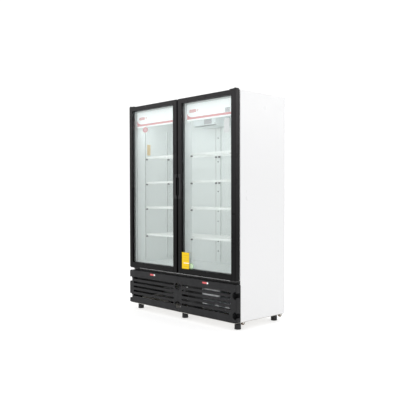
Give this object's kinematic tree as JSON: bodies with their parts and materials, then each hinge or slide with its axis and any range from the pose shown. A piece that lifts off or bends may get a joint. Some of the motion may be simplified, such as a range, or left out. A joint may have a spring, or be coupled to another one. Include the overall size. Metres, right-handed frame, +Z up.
{
  "type": "glass door merchandiser",
  "caption": "Free-standing refrigerated display cabinet with paired hinged glass doors, wire shelves, louvred lower grille and levelling feet.",
  "frame": {"origin": "on the floor, under the centre of the cabinet's box", "axes": "+Z up, the doors face -Y, +X to the right as one faces the doors"},
  "size_m": [1.406, 0.617, 1.935],
  "materials": {
    "case_paint": "smooth white enamel",
    "back_steel": "galvanised sheet",
    "liner_paint": "white prepainted sheet",
    "foam": "foamed in place",
    "frame_plastic": "white profile",
    "door_black": "satin black",
    "grille_plastic": "moulded, fine texture",
    "grip_plastic": "moulded, satin",
    "gasket_rubber": "soft grey seal",
    "clear_glass": "clear",
    "spacer_aluminium": "dull grey, perforated",
    "shelf_paint": "white epoxy coat",
    "clip_plastic": "moulded",
    "screw_steel": "zinc plated",
    "header_plastic": "white with a pale red band",
    "lamp_lens": "opal",
    "display_plastic": "grey",
    "hinge_black": "satin black",
    "base_steel": "grey painted",
    "foot_plastic": "black moulded",
    "roller_steel": "yellow-brown plated",
    "compressor_paint": "black enamel",
    "coil_aluminium": "finned",
    "copper_tube": "copper",
    "fan_plastic": "moulded",
    "motor_steel": "zinc plated",
    "tray_plastic": "moulded",
    "box_plastic": "moulded",
    "evaporator_plastic": "light grey",
    "gland_plastic": "moulded"
  },
  "bodies": {
    "cabinet": {"base_pan": "base_steel", "top_panel": "case_paint", "rear_panel": "back_steel", "rear_service_cover": "back_steel", "power_inlet": "gland_plastic", "insulation": "foam", "rear_liner": "liner_paint", "floor_liner": "liner_paint", "ceiling_liner": "liner_paint", "opening_frame": "frame_plastic", "centre_mullion": "frame_plastic", "shelf_standards": "liner_paint", "shelf_clips": "clip_plastic", "liner_screws": "screw_steel", "led_bars": "lamp_lens", "temperature_controller": "display_plastic", "evaporator_housing": "evaporator_plastic", "evaporator_coil": "coil_aluminium", "fan_motors": "motor_steel", "compressor": "compressor_paint", "condenser_coil": "coil_aluminium", "drain_pan": "tray_plastic", "electrical_box": "box_plastic", "refrigerant_lines": "copper_tube", "hinge_brackets": "hinge_black", "left_side_panel": "case_paint", "left_liner": "liner_paint", "left_header": "header_plastic", "left_grille": "grille_plastic", "right_side_panel": "case_paint", "right_liner": "liner_paint", "right_header": "header_plastic", "right_grille": "grille_plastic", "shelf_level_1": "shelf_paint", "shelf_level_2": "shelf_paint", "shelf_level_3": "shelf_paint", "shelf_level_4": "shelf_paint"},
    "left_door": {"left_door_frame": "door_black", "left_door_glass": "clear_glass", "left_glass_spacer": "spacer_aluminium", "left_door_gasket": "gasket_rubber", "left_door_grip": "grip_plastic"},
    "right_door": {"right_door_frame": "door_black", "right_door_glass": "clear_glass", "right_glass_spacer": "spacer_aluminium", "right_door_gasket": "gasket_rubber", "right_door_grip": "grip_plastic"},
    "condenser_fan": {"condenser_fan": "fan_plastic"},
    "evaporator_fan_left": {"evaporator_fan_left": "fan_plastic"},
    "evaporator_fan_right": {"evaporator_fan_right": "fan_plastic"},
    "front_left_foot": {"front_left_foot": "foot_plastic"},
    "front_centre_foot": {"front_centre_foot": "foot_plastic"},
    "front_right_foot": {"front_right_foot": "foot_plastic"},
    "rear_left_foot": {"rear_left_foot": "foot_plastic"},
    "rear_centre_foot": {"rear_centre_foot": "foot_plastic"},
    "rear_right_foot": {"rear_right_foot": "foot_plastic"},
    "front_left_roller": {"front_left_roller": "roller_steel"},
    "front_right_roller": {"front_right_roller": "roller_steel"},
    "rear_left_roller": {"rear_left_roller": "roller_steel"},
    "rear_right_roller": {"rear_right_roller": "roller_steel"}
  },
  "joints": [
    {"name": "left_door_hinge", "type": "hinge", "parent": "cabinet", "child": "left_door", "pos_m": [-0.68, -0.2835, 1.164], "axis": [0, 0, -1], "range_deg": [0, 110], "stiffness_Nm_per_rad": 2.5, "springref_deg": -20.05},
    {"name": "right_door_hinge", "type": "hinge", "parent": "cabinet", "child": "right_door", "pos_m": [0.68, -0.2835, 1.164], "axis": [0, 0, 1], "range_deg": [0, 110], "stiffness_Nm_per_rad": 2.5, "springref_deg": -20.05},
    {"name": "condenser_fan_spin", "type": "hinge", "parent": "cabinet", "child": "condenser_fan", "pos_m": [0.42, -0.1248, 0.225], "axis": [0, 1, 0], "continuous": true},
    {"name": "evaporator_fan_left_spin", "type": "hinge", "parent": "cabinet", "child": "evaporator_fan_left", "pos_m": [-0.068, 0.0368, 1.828], "axis": [0, 1, 0], "continuous": true},
    {"name": "evaporator_fan_right_spin", "type": "hinge", "parent": "cabinet", "child": "evaporator_fan_right", "pos_m": [0.068, 0.0368, 1.828], "axis": [0, 1, 0], "continuous": true},
    {"name": "front_left_foot_screw", "type": "slide", "parent": "cabinet", "child": "front_left_foot", "axis": [0, 0, -1], "range_m": [0, 0.025]},
    {"name": "front_centre_foot_screw", "type": "slide", "parent": "cabinet", "child": "front_centre_foot", "axis": [0, 0, -1], "range_m": [0, 0.025]},
    {"name": "front_right_foot_screw", "type": "slide", "parent": "cabinet", "child": "front_right_foot", "axis": [0, 0, -1], "range_m": [0, 0.025]},
    {"name": "rear_left_foot_screw", "type": "slide", "parent": "cabinet", "child": "rear_left_foot", "axis": [0, 0, -1], "range_m": [0, 0.025]},
    {"name": "rear_centre_foot_screw", "type": "slide", "parent": "cabinet", "child": "rear_centre_foot", "axis": [0, 0, -1], "range_m": [0, 0.025]},
    {"name": "rear_right_foot_screw", "type": "slide", "parent": "cabinet", "child": "rear_right_foot", "axis": [0, 0, -1], "range_m": [0, 0.025]},
    {"name": "front_left_roller_spin", "type": "hinge", "parent": "cabinet", "child": "front_left_roller", "pos_m": [-0.677, -0.1965, 0.057], "axis": [1, 0, 0], "continuous": true},
    {"name": "front_right_roller_spin", "type": "hinge", "parent": "cabinet", "child": "front_right_roller", "pos_m": [0.677, -0.1965, 0.057], "axis": [1, 0, 0], "continuous": true},
    {"name": "rear_left_roller_spin", "type": "hinge", "parent": "cabinet", "child": "rear_left_roller", "pos_m": [-0.677, 0.2715, 0.057], "axis": [1, 0, 0], "continuous": true},
    {"name": "rear_right_roller_spin", "type": "hinge", "parent": "cabinet", "child": "rear_right_roller", "pos_m": [0.677, 0.2715, 0.057], "axis": [1, 0, 0], "continuous": true}
  ]
}
